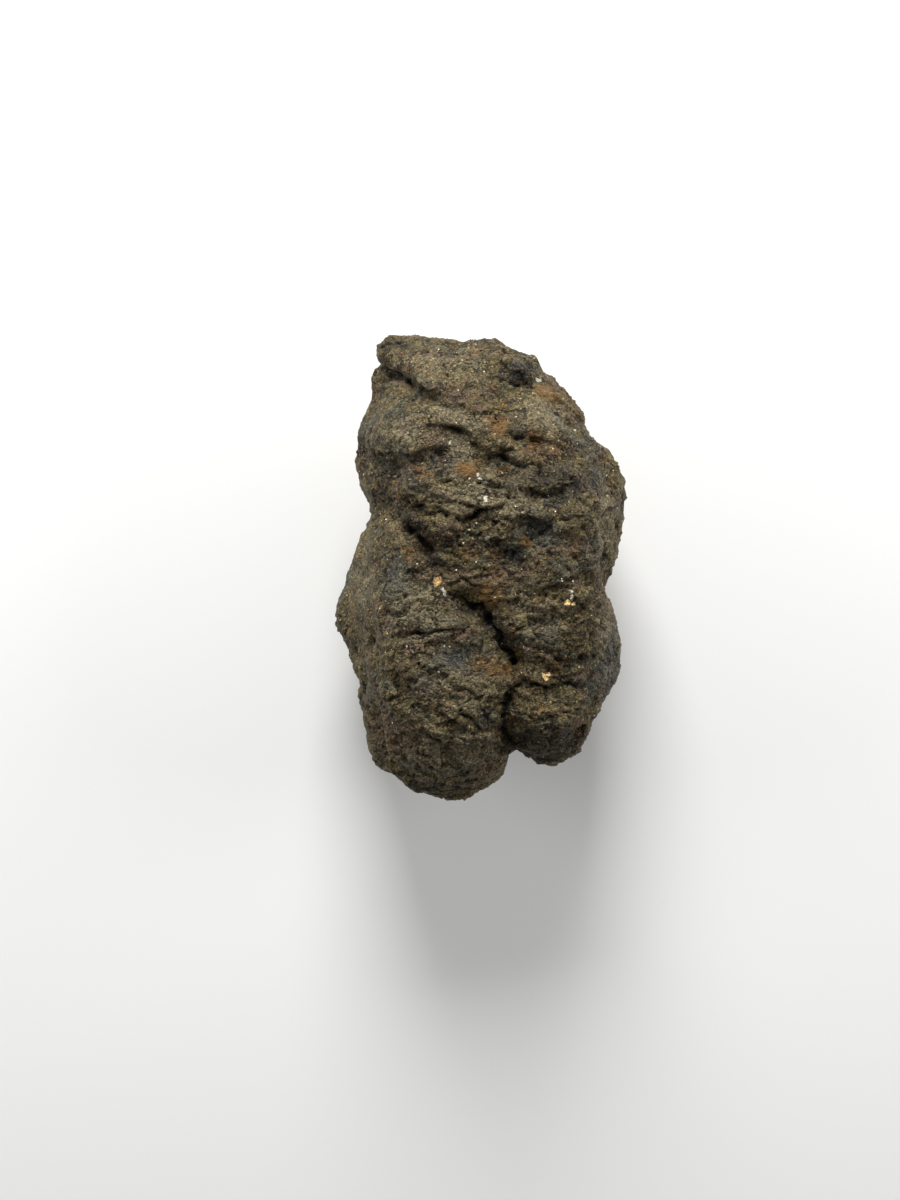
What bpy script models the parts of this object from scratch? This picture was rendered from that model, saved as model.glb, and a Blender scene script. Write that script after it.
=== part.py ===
"""A chondrite meteorite: one weathered stone, lying on its back with its lobed face up.

The frame is the stone's own: +Y runs along its length towards the overhanging slab, +X to the
right of the lobed face, +Z up. It rests on a small flat spot at z = 0. Lengths are in millimetres
in this file, and turned to metres where the mesh is made.
"""

import math

import bmesh
import bpy
import numpy as np
from mathutils import Matrix, Vector, noise

MM = 0.001
TURN = 2 * math.pi

# Driving dimensions of the stone
LENGTH = 76.0
WIDTH = 48.0
THICKNESS = 39.0

# How far the blank reaches from its widest section to its front and to its back. The back is then
# cut off flat where the thickness ends, and within this depth above the cut it is less rough
FRONT_RISE = 19.5
BACK_DROP = 21.3
REST_CALM_DEPTH, REST_CALM = 3.5, 0.25

# How the blank is made: faces along a cube's edge, how square its sections are, and how far its
# widest section wanders up and down round the stone
BLANK_CUTS = 96
SQUARENESS = 0.62
WANDER = [(2, 2.0, 0.8), (3, 1.2, 2.0)]

# The share of the blank's triangles that the finished stone keeps. The lobed face is favoured a
# little over the flanks, and those over the back
KEPT_SHARE = 0.086
FAVOUR = 0.0025
FLANK_FAVOUR = 0.8

# The block that cuts the back off flat
REST_CUT_DEPTH = 20.0

# The outline seen from above, clockwise from the slab's upper left corner, x and y
OUTLINE = [
    (-16.0, 37.2), (-13.5, 37.4), (-11.2, 37.9), (-8.0, 37.3), (-5.5, 37.2), (-3.5, 36.3),
    (-2.0, 36.8), (0.0, 37.4), (2.5, 37.2), (3.6, 36.0), (5.0, 34.8), (7.0, 34.3),
    (8.6, 33.8), (9.4, 32.6), (9.2, 31.3), (10.0, 30.9), (11.2, 31.5), (12.3, 30.6),
    (13.5, 29.3), (15.0, 28.0), (16.6, 26.8), (17.3, 25.0), (17.6, 22.8), (18.3, 21.3),
    (19.8, 20.2), (21.3, 18.6), (22.0, 16.5), (23.2, 14.6), (24.0, 12.5), (23.8, 10.0),
    (23.7, 7.5), (23.2, 5.0), (22.8, 2.5), (22.3, 0.5), (22.0, -1.5), (21.2, -3.8),
    (21.6, -6.0), (22.0, -9.0), (23.0, -11.5), (23.2, -14.0), (23.7, -16.5), (23.2, -18.3),
    (21.6, -20.0), (20.0, -22.0), (18.8, -24.2), (18.0, -26.8), (17.2, -29.3), (15.5, -31.2),
    (13.0, -31.9), (10.0, -31.7), (8.0, -30.8), (6.0, -30.3), (5.5, -30.1), (4.8, -31.2),
    (4.0, -33.0), (2.5, -34.3), (0.3, -35.2), (-0.5, -36.5), (-2.5, -37.8), (-4.5, -38.1),
    (-7.0, -37.6), (-9.5, -36.8), (-11.5, -36.4), (-12.8, -35.2), (-14.0, -34.0),
    (-16.0, -32.8), (-18.0, -32.2), (-18.8, -30.2), (-19.4, -27.5), (-20.2, -24.0),
    (-21.2, -20.5), (-22.2, -18.0), (-22.8, -15.5), (-22.9, -13.0), (-23.0, -10.8),
    (-23.8, -8.3), (-24.1, -6.8), (-23.6, -5.2), (-22.8, -4.2), (-22.4, -1.0), (-22.1, 1.0),
    (-21.3, 2.8), (-20.7, 3.6), (-20.7, 5.3), (-19.8, 6.6), (-19.0, 8.0), (-18.8, 9.6),
    (-19.4, 11.0), (-20.3, 12.6), (-20.8, 14.6), (-21.0, 16.5), (-20.7, 18.5), (-20.8, 20.5),
    (-20.9, 22.5), (-20.4, 24.5), (-19.3, 26.3), (-18.3, 27.6), (-18.6, 29.5), (-18.5, 31.3),
    (-17.8, 32.4), (-16.4, 33.0), (-15.7, 33.8), (-15.5, 35.2), (-16.1, 36.4),
]

# The outline is sharp within this tilt from the widest section, and averaged past it
OUTLINE_BAND_DEG = 34.0
OUTLINE_SMOOTHING_DEG = 10.0
OUTLINE_SAMPLES = 9

# Broad broken faces: the direction each looks in, a point on it, and how soft its edge is
FACET_PULL = 0.88
FACETS = [
    ("brow slope", (0.02, 0.40, 0.92), (-2.0, 20.0, 16.6), 1.4),
    ("top slope", (0.04, 0.72, 0.69), (-2.0, 31.0, 11.8), 1.0),
    ("upper right slope", (0.62, 0.50, 0.60), (11.0, 24.0, 13.0), 1.5),
    ("front", (0.02, -0.06, 1.00), (0.0, 0.0, 17.6), 2.0),
    ("right flank", (0.94, 0.03, 0.34), (19.2, 5.0, 11.5), 0.8),
    ("lower right flank", (0.95, -0.05, 0.30), (19.4, -14.0, 10.0), 0.7),
    ("left flank", (-0.90, 0.05, 0.42), (-17.2, -4.0, 11.5), 0.8),
    ("lower left flank", (-0.90, -0.15, 0.40), (-15.6, -24.0, 11.0), 0.9),
    ("shoulder's left", (-0.72, 0.30, 0.62), (-15.5, 22.0, 12.0), 1.5),
    ("foot slope", (-0.05, -0.70, 0.71), (-4.0, -31.0, 11.5), 1.5),
    ("back, left", (-0.48, 0.18, -0.86), (-12.0, 4.0, -16.0), 1.0),
    ("back, right", (0.55, 0.10, -0.83), (12.5, 2.0, -16.0), 1.0),
    ("back, top", (0.10, 0.66, -0.74), (-2.0, 24.0, -14.0), 1.2),
    ("back, foot", (-0.12, -0.60, -0.79), (0.0, -22.0, -15.5), 1.2),
    ("back, lower right", (0.62, -0.50, -0.60), (15.0, -17.0, -11.5), 0.8),
    ("back, upper left", (-0.66, 0.52, -0.54), (-13.5, 21.0, -10.5), 0.8),
]

# Lumps and hollows: the side they are on, their centre there, their two half widths, the turn of
# the first one in degrees, and how far they stand proud, or are sunk where that is negative
LUMP_STEEPNESS = 1.4
LUMPS = [
    ("slab", "front", (-3.0, 33.0), (12.0, 3.6), -8, 1.6),
    ("dark knob on the slab", "front", (6.6, 32.6), (2.6, 2.0), 0, 1.3),
    ("left shoulder", "front", (-13.5, 23.0), (6.5, 3.6), 10, 1.7),
    ("shoulder by the neck", "front", (-4.0, 25.5), (7.0, 1.8), -8, 0.8),
    ("right shoulder", "front", (10.5, 25.0), (5.5, 3.8), -35, 0.9),
    ("hollow under the step", "front", (-3.2, 20.0), (4.2, 2.4), -25, -0.7),
    ("hollow under the shoulder", "front", (-12.5, 16.4), (6.0, 2.2), -6, -0.9),
    ("belly", "front", (5.0, 12.5), (9.0, 4.5), -10, 1.0),
    ("rib over the valley", "front", (-6.5, 8.0), (6.5, 2.2), -38, 0.9),
    ("right cheek", "front", (14.5, 7.5), (4.0, 8.0), 10, 0.9),
    ("dark hollow", "front", (9.8, 6.6), (2.6, 2.0), -30, -1.2),
    ("small hollow", "front", (5.8, 2.6), (2.0, 1.4), -30, -0.6),
    ("left lobe", "front", (-9.5, -8.0), (7.5, 7.0), -50, 1.6),
    ("lower left lobe", "front", (-6.0, -22.0), (9.0, 8.0), 0, 1.7),
    ("foot of the left lobe", "front", (-5.0, -31.5), (8.0, 3.0), -6, 1.2),
    ("right body", "front", (11.5, -7.5), (6.0, 8.5), 0, 1.1),
    ("lower right lobe", "front", (11.0, -24.5), (5.5, 5.0), 0, 1.6),
    ("bulge of the right flank", "right", (12.0, 2.0), (8.0, 7.0), 0, 1.3),
    ("recess in the right flank", "right", (-2.0, 3.0), (2.4, 3.6), 18, -1.7),
    ("plate on the right flank", "right", (-13.0, 1.0), (6.5, 8.0), 10, 0.9),
    ("low bulge of the right flank", "right", (2.0, -11.0), (9.0, 4.0), -10, 1.2),
    ("notch in the left flank", "left", (9.0, 2.0), (3.0, 4.4), 16, -1.2),
    ("left flank's lower bulge", "left", (-7.0, -3.0), (7.0, 6.0), 0, 1.0),
    ("left flank's hollow", "left", (-19.0, -4.0), (4.0, 5.0), -20, -1.1),
    ("left flank's upper bulge", "left", (21.0, -4.0), (6.0, 5.0), 20, 1.0),
    ("back ridge", "back", (-6.0, 10.0), (5.0, 12.0), 30, 1.6),
    ("back hollow", "back", (7.0, 15.0), (5.5, 4.5), -20, -2.0),
    ("back upper hollow", "back", (-8.0, 25.0), (5.0, 3.5), 10, -1.5),
    ("back lower hollow", "back", (-11.0, -14.0), (4.5, 6.0), 25, -1.9),
    ("back lower lump", "back", (8.0, -20.0), (6.0, 5.0), 0, 1.7),
    ("back foot lump", "back", (-6.0, -28.0), (6.0, 4.0), -10, 1.4),
    ("back right hollow", "back", (15.0, -3.0), (3.5, 5.0), 15, -1.6),
    ("head hollow", "top", (2.0, -4.0), (5.0, 4.0), 10, -1.4),
    ("head lump", "top", (-8.0, -6.0), (5.0, 5.0), 0, 1.3),
    ("foot hollow", "foot", (8.0, -5.0), (4.0, 4.0), 0, -1.5),
]

# Valleys and cracks: side, the line's points there, half width, depth
GROOVES = [
    ("undercut of the slab", "front",
     [(-18.5, 34.6), (-16.0, 33.5), (-14.6, 32.8), (-13.0, 31.8), (-12.0, 31.2)], 0.9, 3.4),
    ("end of the undercut", "front", [(-11.0, 30.8), (-8.6, 29.0), (-5.8, 27.2)], 0.6, 0.5),
    ("under the knob", "front", [(3.9, 30.8), (5.2, 30.3), (7.2, 30.5), (9.8, 30.9)], 0.6, 0.6),
    ("valley's head", "front",
     [(-20.0, 9.3), (-17.0, 10.6), (-14.6, 9.6), (-12.8, 8.0), (-11.0, 6.0), (-8.8, 4.0)],
     1.5, 1.6),
    ("valley", "front",
     [(-9.5, 4.6), (-8.0, 1.2), (-6.6, -2.0), (-5.0, -4.4), (-2.8, -5.6), (0.2, -6.6)], 1.6, 1.1),
    ("chasm", "front",
     [(-3.6, -5.2), (-1.2, -6.2), (1.2, -7.6), (2.0, -9.6), (3.6, -11.8), (5.2, -14.0), (5.8, -15.6)],
     1.1, 3.0),
    ("crease between the lobes", "front",
     [(5.4, -15.0), (4.6, -19.0), (4.3, -23.0), (4.0, -26.6), (4.7, -29.0), (5.6, -31.0)], 1.2, 1.8),
    ("mouth of the crease", "foot", [(5.5, 9.0), (5.7, 3.0), (6.5, -4.0)], 2.2, 0.9),
    ("crack across the left lobe", "front",
     [(-12.0, -10.6), (-10.0, -10.6), (-7.8, -10.3), (-4.5, -10.2), (-2.9, -10.2)], 0.6, 0.8),
    ("crack over the right lobe", "front",
     [(5.0, -19.9), (7.5, -18.9), (11.0, -19.4), (14.0, -18.8), (17.6, -19.1), (21.0, -19.6)],
     0.6, 1.0),
    ("crack by the right plate", "front",
     [(18.2, -9.5), (18.9, -14.0), (18.3, -18.5), (19.2, -22.0)], 0.8, 1.2),
    ("long crack of the belly", "front",
     [(-12.6, 11.6), (-10.8, 10.5), (-7.0, 9.9), (-3.5, 8.9), (-0.6, 9.2), (1.2, 9.9)], 0.7, 1.2),
    ("back seam", "back",
     [(-16.0, 18.0), (-9.0, 13.5), (-2.0, 12.0), (4.0, 7.0), (13.0, 5.0)], 1.2, 1.3),
    ("lower back seam", "back",
     [(-20.0, -6.0), (-12.0, -9.5), (-8.0, -17.0), (-1.0, -22.0), (3.0, -30.0)], 1.3, 1.3),
    ("seam of the right flank", "right", [(24.0, -2.0), (14.0, -6.0), (4.0, -4.0), (-6.0, -8.0)],
     1.0, 1.1),
    ("seam of the left flank", "left", [(26.0, -3.0), (15.0, -5.0), (4.0, -3.0), (-8.0, -9.0)],
     1.0, 1.1),
    ("seam of the foot", "foot", [(-16.0, -3.0), (-6.0, -2.0), (4.0, -8.0), (14.0, -6.0)], 1.0, 1.2),
    ("seam of the head", "top", [(-15.0, -2.0), (-6.0, -3.0), (3.0, 1.0), (12.0, -3.0)], 1.0, 1.0),
]

# Ledges: side, the edge's points with the high ground on the right of the line's run, how high the
# step is, how far back from the edge it reaches, and how far the edge hangs over
LEDGE_SOFTNESS = 0.42
LEDGE_END_SHARE = 0.6
LEDGE_HANG_SHIFT = 0.2
LEDGES = [
    ("slab's lip", "front",
     [(-9.6, 30.3), (-11.6, 31.5), (-14.6, 33.2), (-17.0, 34.2), (-19.0, 35.0)], 2.1, 3.2, 1.2),
    ("end of the slab's lip", "front",
     [(-2.0, 26.0), (-5.7, 27.4), (-7.5, 28.4), (-9.4, 30.0)], 1.0, 2.6, 0.4),
    ("neck's lip", "front",
     [(3.2, 26.3), (1.6, 26.0), (0.2, 25.2), (-1.8, 26.0), (-3.6, 26.7)], 0.8, 2.2, 0.3),
    ("knob's lip", "front", [(9.8, 31.2), (7.2, 30.9), (5.2, 30.6), (3.9, 31.2)], 0.8, 1.6, 0.3),
    ("step", "front",
     [(0.4, 20.0), (-0.9, 20.9), (-1.8, 21.9), (-3.0, 22.7), (-4.4, 23.1), (-6.4, 23.7), (-8.5, 23.6)],
     1.4, 2.2, 0.6),
    ("shoulder's lip", "front",
     [(-6.4, 19.8), (-9.0, 19.4), (-11.0, 18.6), (-14.5, 18.5), (-17.2, 19.2), (-19.0, 20.6)],
     1.5, 2.6, 0.5),
    ("right brow", "front",
     [(10.0, 17.2), (7.0, 17.5), (5.0, 17.8), (3.5, 18.5), (1.3, 18.8)], 1.4, 2.4, 0.5),
    ("rust patch's lip", "front", [(9.4, 21.4), (8.0, 20.9), (6.6, 21.6), (5.2, 22.3)], 0.7, 1.6, 0.3),
    ("valley's lip", "front",
     [(-4.6, -4.4), (-6.2, -2.0), (-7.4, 0.6), (-8.6, 3.4), (-10.6, 6.2), (-13.0, 8.6), (-15.4, 11.8)],
     0.8, 2.4, 0.2),
    ("belly's lip", "front",
     [(-4.5, 4.6), (-7.4, 7.4), (-9.2, 9.0), (-11.2, 10.8), (-13.0, 12.4)], 0.7, 1.6, 0.1),
    ("chasm's upper lip", "front",
     [(5.6, -14.2), (3.8, -11.4), (2.0, -8.8), (0.6, -6.4), (-2.0, -5.4), (-4.2, -4.8)],
     1.4, 2.6, 0.3),
    ("foot ledge", "front",
     [(0.0, -34.9), (-2.5, -35.4), (-6.5, -35.5), (-10.5, -35.2), (-13.0, -33.9)], 1.3, 2.4, 0.3),
    ("dark hollow's rim", "front", [(12.4, 6.0), (11.5, 7.4), (10.0, 8.3), (8.0, 8.3)], 0.8, 1.8, 0.2),
    ("middle brow", "front",
     [(16.0, 14.6), (13.0, 13.0), (9.5, 12.9), (6.0, 13.4), (2.5, 13.6), (0.4, 14.4)], 1.3, 2.4, 0.4),
    ("belly's crack lip", "front",
     [(1.2, 9.9), (-0.4, 9.4), (-2.4, 8.6), (-5.6, 9.4), (-9.0, 10.2), (-12.2, 11.4)], 1.1, 1.8, 0.3),
    ("middle ledge", "front",
     [(8.6, 1.6), (6.2, 2.4), (3.2, 3.8), (0.4, 6.2), (-3.6, 6.0)], 1.1, 2.2, 0.3),
    ("right body's ledge", "front",
     [(16.0, -1.0), (12.4, 2.6), (9.6, 4.6)], 0.7, 2.2, 0.3),
    ("right body's foot", "front",
     [(17.6, -19.1), (14.0, -18.8), (11.0, -19.4), (7.5, -18.9), (5.0, -19.9)], 0.9, 2.0, 0.3),
    ("left lobe's ledge", "front",
     [(-2.8, -10.0), (-6.0, -10.2), (-10.0, -10.5), (-12.6, -10.4)], 0.6, 2.0, 0.2),
    ("left lobe's lower ledge", "front",
     [(3.8, -20.4), (0.6, -20.9), (-2.6, -19.6), (-6.0, -17.6), (-8.4, -16.4)], 0.9, 2.4, 0.3),
    ("foot's upper ledge", "front",
     [(-1.5, -28.6), (-5.8, -28.9), (-8.4, -26.6), (-12.8, -25.0)], 0.8, 2.4, 0.3),
    ("lower lobe's ledge", "front",
     [(13.5, -26.6), (9.0, -27.8), (6.4, -27.0)], 0.7, 2.2, 0.3),
    ("right flank's overhang", "right", [(-2.6, -3.6), (0.6, 0.0), (0.4, 4.6), (2.6, 8.0)],
     1.0, 3.0, 0.3),
    ("back terrace", "back",
     [(-13.0, 19.0), (-6.0, 18.5), (1.0, 14.5), (7.0, 10.0), (14.0, 11.0)], 1.6, 4.0, 0.5),
    ("lower back terrace", "back",
     [(-8.0, -19.0), (-1.0, -18.0), (6.0, -13.5), (13.0, -12.0)], 1.5, 4.0, 0.5),
    ("left flank's ledge", "left", [(-13.0, -10.0), (-11.0, -4.0), (-12.0, 3.0)], 1.1, 3.0, 0.3),
    ("head's ledge", "top", [(6.0, -6.0), (-3.0, -9.0), (-12.0, -7.0)], 1.0, 3.0, 0.3),
]

# Corners drawn out of the stone: where they start, how far round that the pull reaches, and by
# how much they are drawn out
PULLS = [
    ("slab's corner", (-14.8, 35.0, 5.0), 3.6, (-1.3, 1.4, 1.0)),
    ("knob's corner", (8.2, 33.0, 6.0), 2.2, (1.0, 0.8, 0.6)),
    ("shoulder's corner", (-17.8, 31.0, 2.0), 2.6, (-1.2, 0.8, 0.0)),
]

# The lobed face's points are given as seen from this height over the widest section, above this
# spot, so what stands nearer to the eye looks further out than it is
VIEW_AXIS = np.array([-4.9, -5.0])
VIEW_DISTANCE = 300.0
LIFT_ROUNDS, LIFT_NEIGHBOURS = 3, 4

# Which way each side looks, and the two axes that its points are given on
SIDE_FADE_START, SIDE_FADE = -0.35, 0.5
SIDES = {
    "front": ((0, 1), 2, 1),
    "back": ((0, 1), 2, -1),
    "right": ((1, 2), 0, 1),
    "left": ((1, 2), 0, -1),
    "top": ((0, 2), 1, 1),
    "foot": ((0, 2), 1, -1),
}

# Rough surface all over: chips lie along the strata, each on its own tilted plane, with creases
# between them. Sizes of the lumps and chips, how high they stand, and how they are displaced
STRATA_TURN_DEG = -9.0
STRATA_STRETCH = 1.45
COARSE_SIZE, COARSE_HEIGHT = 7.7, 0.8
CHIP_SIZE, CHIP_TILT, CHIP_CREASE = 7.0, 0.95, 0.5
FLAKE_SIZE, FLAKE_TILT, FLAKE_CREASE = 3.6, 0.55, 0.5
CRUMB_SIZE, CRUMB_HEIGHT = 2.4, 0.22
WIDE_WARP_SIZE, WIDE_WARP = 9.0, 2.6
NARROW_WARP_SIZE, NARROW_WARP = 3.5, 0.8
CREASE_WIDTH = 0.12
CREASE_LEVEL = 0.35
CHIP_SCATTER = 61.7
COARSE_SHIFT = Vector((8.2, 1.1, 5.0))
FLAKE_SHIFT = Vector((5.0, 2.0, 7.0))

# The warp is drawn from this seed, so each build gives the same stone
WARP_SEED = 4

# The outline keeps its read shape: within this height of the widest section it is less rough
RIM_CALM = 0.55
RIM_HEIGHT = 8.0

# Rounds of smoothing that leave only the broad form, and that end the shaping
BROAD_ROUNDS, LAST_ROUNDS, SMOOTHING_SHARE = 12, 2, 0.4

# Edges that stay crisp in the shading
SHARP_DEG = 35.0


def shape_directions():
    """A closed blank of evenly spread points on a unit ball, and the mesh that joins them."""
    blank = bmesh.new()
    bmesh.ops.create_cube(blank, size=2.0)
    bmesh.ops.subdivide_edges(blank, edges=blank.edges[:], cuts=BLANK_CUTS, use_grid_fill=True)
    for vert in blank.verts:
        vert.co = Vector([math.tan(c * math.pi / 4) for c in vert.co]).normalized()
    mesh = bpy.data.meshes.new("chondrite_stone")
    blank.to_mesh(mesh)
    blank.free()
    return mesh


def read_points(mesh):
    points = np.empty(len(mesh.vertices) * 3)
    mesh.vertices.foreach_get("co", points)
    return points.reshape(-1, 3)


def write_points(mesh, points):
    mesh.vertices.foreach_set("co", points.ravel())
    mesh.update()


def read_normals(mesh, points):
    """Outward normals of the mesh with its corners at these points."""
    write_points(mesh, points)
    normals = np.empty(len(mesh.vertices) * 3)
    mesh.vertex_normals.foreach_get("vector", normals)
    return normals.reshape(-1, 3)


def outline_radius(angles, smoothing_deg):
    """The outline's distance from the middle at each angle, averaged over a turn of that size."""
    corners = np.array(OUTLINE)
    corners = corners - (corners.max(axis=0) + corners.min(axis=0)) / 2
    corners = corners * np.array([WIDTH, LENGTH]) / np.ptp(corners, axis=0)
    turns = np.arctan2(corners[:, 1], corners[:, 0])
    order = np.argsort(turns)
    turns, radii = turns[order], np.hypot(corners[:, 0], corners[:, 1])[order]
    spread = math.radians(smoothing_deg)
    shifts = spread * np.linspace(-1, 1, OUTLINE_SAMPLES)
    return np.mean([np.interp(angles + shift, turns, radii, period=TURN) for shift in shifts], axis=0)


def blank_body(directions):
    """The stone before its faces are broken: square-shouldered sections inside the outline."""
    across = np.hypot(directions[:, 0], directions[:, 1])
    angles = np.arctan2(directions[:, 1], directions[:, 0])
    tilt = np.degrees(np.arcsin(np.clip(directions[:, 2], -1, 1)))
    sharp = np.exp(-((tilt / OUTLINE_BAND_DEG) ** 2))
    averaged = outline_radius(angles, OUTLINE_SMOOTHING_DEG)
    radius = outline_radius(angles, 0) * sharp + averaged * (1 - sharp)
    reach = radius * across ** SQUARENESS
    rise = np.abs(directions[:, 2]) ** SQUARENESS
    height = np.where(directions[:, 2] > 0, FRONT_RISE * rise, -BACK_DROP * rise)
    for waves, rise, start in WANDER:
        height += rise * np.sin(waves * angles + start) * across ** 3
    return np.column_stack([reach * np.cos(angles), reach * np.sin(angles), height])


def break_facet(points, looks, on_face, softness):
    """What stands past a broken face is pulled back to it, with a rounded edge."""
    looks = np.array(looks) / np.linalg.norm(looks)
    over = (points - np.array(on_face)) @ looks
    kept = softness * np.logaddexp(0, over / softness)
    return points - FACET_PULL * np.outer(kept, looks)


def lift(points, side, path):
    """The points of a path on one side of the stone, with their depth read from the surface."""
    (first, second), depth_axis, sign = SIDES[side]
    facing = points[points[:, depth_axis] * sign > 0]
    lifted = []
    for read in np.array(path):
        spot = read
        for _ in range(LIFT_ROUNDS):
            apart = (facing[:, first] - spot[0]) ** 2 + (facing[:, second] - spot[1]) ** 2
            point = facing[np.argsort(apart)[:LIFT_NEIGHBOURS]].mean(axis=0)
            if side == "front":
                spot = VIEW_AXIS + (read - VIEW_AXIS) * (1 - point[2] / VIEW_DISTANCE)
        point[first], point[second] = spot
        lifted.append(point)
    return np.array(lifted)


def facing_share(normals, side):
    """1 where the surface looks towards that side, falling to 0 where it looks away."""
    _, depth_axis, sign = SIDES[side]
    return np.clip((normals[:, depth_axis] * sign - SIDE_FADE_START) / SIDE_FADE, 0, 1)


def nearest_on_path(points, path):
    """Each point's offset from the nearest spot of a path, and the path's run there."""
    best = np.full(len(points), np.inf)
    offsets, runs = np.zeros_like(points), np.zeros_like(points)
    for start, end in zip(path[:-1], path[1:]):
        run = end - start
        share = np.clip((points - start) @ run / (run @ run), 0, 1)
        offset = points - (start + share[:, None] * run)
        apart = (offset ** 2).sum(axis=1)
        closer = apart < best
        best[closer] = apart[closer]
        offsets[closer] = offset[closer]
        runs[closer] = run / np.linalg.norm(run)
    return offsets, runs


def raise_lump(points, normals, side, centre, widths, turn, height):
    (first, second), _, _ = SIDES[side]
    middle = lift(points, side, [centre])[0]
    away = points - middle
    c, s = math.cos(math.radians(turn)), math.sin(math.radians(turn))
    along = (away[:, first] * c + away[:, second] * s) / widths[0]
    across = (away[:, second] * c - away[:, first] * s) / widths[1]
    deep = (away ** 2).sum(axis=1) - away[:, first] ** 2 - away[:, second] ** 2
    share = np.exp(-(along ** 2 + across ** 2 + deep / max(widths) ** 2) ** LUMP_STEEPNESS)
    return points + normals * (share * facing_share(normals, side) * height)[:, None]


def cut_groove(points, normals, side, path, half_width, depth):
    offsets, _ = nearest_on_path(points, lift(points, side, path))
    apart = np.linalg.norm(offsets, axis=1)
    share = np.exp(-((apart / half_width) ** 2)) * facing_share(normals, side)
    return points - normals * (share * depth)[:, None]


def raise_ledge(points, normals, side, path, height, reach, overhang):
    """The ground on the right of the path is lifted and pushed over the sunk ground on its left."""
    (first, second), depth_axis, sign = SIDES[side]
    offsets, runs = nearest_on_path(points, lift(points, side, path))
    outward = np.zeros(3)
    outward[depth_axis] = sign
    handed = 1.0 if (second - first) % 3 == 1 else -1.0
    right = np.cross(runs, outward * handed * sign)
    right /= np.maximum(np.linalg.norm(right, axis=1), 1e-9)[:, None]
    beside = (offsets * right).sum(axis=1)
    ends = np.sqrt(np.maximum((offsets ** 2).sum(axis=1) - beside ** 2, 0))
    fade = np.exp(-((beside / reach) ** 2) - (ends / (LEDGE_END_SHARE * reach)) ** 2)
    fade *= facing_share(normals, side)
    step = np.tanh(beside / LEDGE_SOFTNESS) * fade * height / 2
    hang = (1 + np.tanh((beside + LEDGE_HANG_SHIFT) / LEDGE_SOFTNESS)) * fade * overhang / 2
    return points + normals * step[:, None] - right * hang[:, None]


def chip(spot, tilt, crease):
    """Height on a surface broken into chips one unit across: tilted planes with creases between."""
    apart, centres = noise.voronoi(spot)
    lean = noise.cell_vector(centres[0] * CHIP_SCATTER) - Vector((0.5, 0.5, 0.5))
    edge = math.exp(-((apart[1] - apart[0]) / CREASE_WIDTH))
    return tilt * 2 * lean.dot(spot - centres[0]) + crease * (CREASE_LEVEL - edge)


def roughen(points, normals):
    """Coarse lumps, chips and flakes over the whole stone, calmer at its outline and rest spot."""
    turn = Matrix.Rotation(math.radians(-STRATA_TURN_DEG), 3, "Z")
    squeeze = Vector((1 / STRATA_STRETCH, 1.0, 1.0))
    noise.seed_set(WARP_SEED)
    pushed = np.empty(len(points))
    for i, point in enumerate(points):
        spot = Vector(point)
        warp = noise.noise_vector(spot / WIDE_WARP_SIZE) * WIDE_WARP
        warp += noise.noise_vector(spot / NARROW_WARP_SIZE) * NARROW_WARP
        laid = (turn @ (spot + warp)) * squeeze
        pushed[i] = (
            COARSE_HEIGHT * noise.noise(laid / COARSE_SIZE + COARSE_SHIFT)
            + chip(laid / CHIP_SIZE, CHIP_TILT, CHIP_CREASE)
            + chip(laid / FLAKE_SIZE + FLAKE_SHIFT, FLAKE_TILT, FLAKE_CREASE)
            + CRUMB_HEIGHT * noise.noise(laid / CRUMB_SIZE)
        )
    at_rim = np.clip(1 - np.abs(normals[:, 2]), 0, 1) * (np.abs(points[:, 2]) < RIM_HEIGHT)
    above_rest = points[:, 2] - points[:, 2].max() + THICKNESS
    calm = (1 - RIM_CALM * at_rim) * np.clip(above_rest / REST_CALM_DEPTH, REST_CALM, 1)
    return points + normals * (pushed * calm)[:, None]


def draw_corner(points, start, reach, by):
    share = np.exp(-(((points - np.array(start)) ** 2).sum(axis=1) / reach ** 2))
    return points + share[:, None] * np.array(by)


def soften(mesh, points, rounds):
    """Each point moves a share of the way to the middle of its neighbours, which rounds sharp teeth."""
    ends = np.empty(len(mesh.edges) * 2, int)
    mesh.edges.foreach_get("vertices", ends)
    ends = ends.reshape(-1, 2)
    counts = np.bincount(ends.ravel(), minlength=len(points))[:, None]
    for _ in range(rounds):
        sums = np.zeros_like(points)
        np.add.at(sums, ends[:, 0], points[ends[:, 1]])
        np.add.at(sums, ends[:, 1], points[ends[:, 0]])
        points = points + SMOOTHING_SHARE * (sums / counts - points)
    return points


def fit_to_size(points):
    """The outline is brought to size over the origin, and the highest point to the thickness."""
    low, high = points.min(axis=0), points.max(axis=0)
    points = points - np.array([(low[0] + high[0]) / 2, (low[1] + high[1]) / 2, high[2] - THICKNESS])
    points[:, 0] *= WIDTH / (high[0] - low[0])
    points[:, 1] *= LENGTH / (high[1] - low[1])
    return points


def shape_stone(mesh):
    """The blank becomes the stone. Gives how far each point of its broad form looks up."""
    points = blank_body(read_points(mesh))
    for _, looks, on_face, softness in FACETS:
        points = break_facet(points, looks, on_face, softness)
    for _, side, centre, widths, turn, height in LUMPS:
        points = raise_lump(points, read_normals(mesh, points), side, centre, widths, turn, height)
    broad = read_normals(mesh, soften(mesh, points, BROAD_ROUNDS))
    points = roughen(points, broad)
    for _, start, reach, by in PULLS:
        points = draw_corner(points, start, reach, by)
    for _, side, path, half_width, depth in GROOVES:
        points = cut_groove(points, broad, side, path, half_width, depth)
    for _, side, path, height, reach, overhang in LEDGES:
        points = raise_ledge(points, broad, side, path, height, reach, overhang)
    points = soften(mesh, points, LAST_ROUNDS)
    write_points(mesh, fit_to_size(points) * MM)
    return broad[:, 2]


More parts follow.
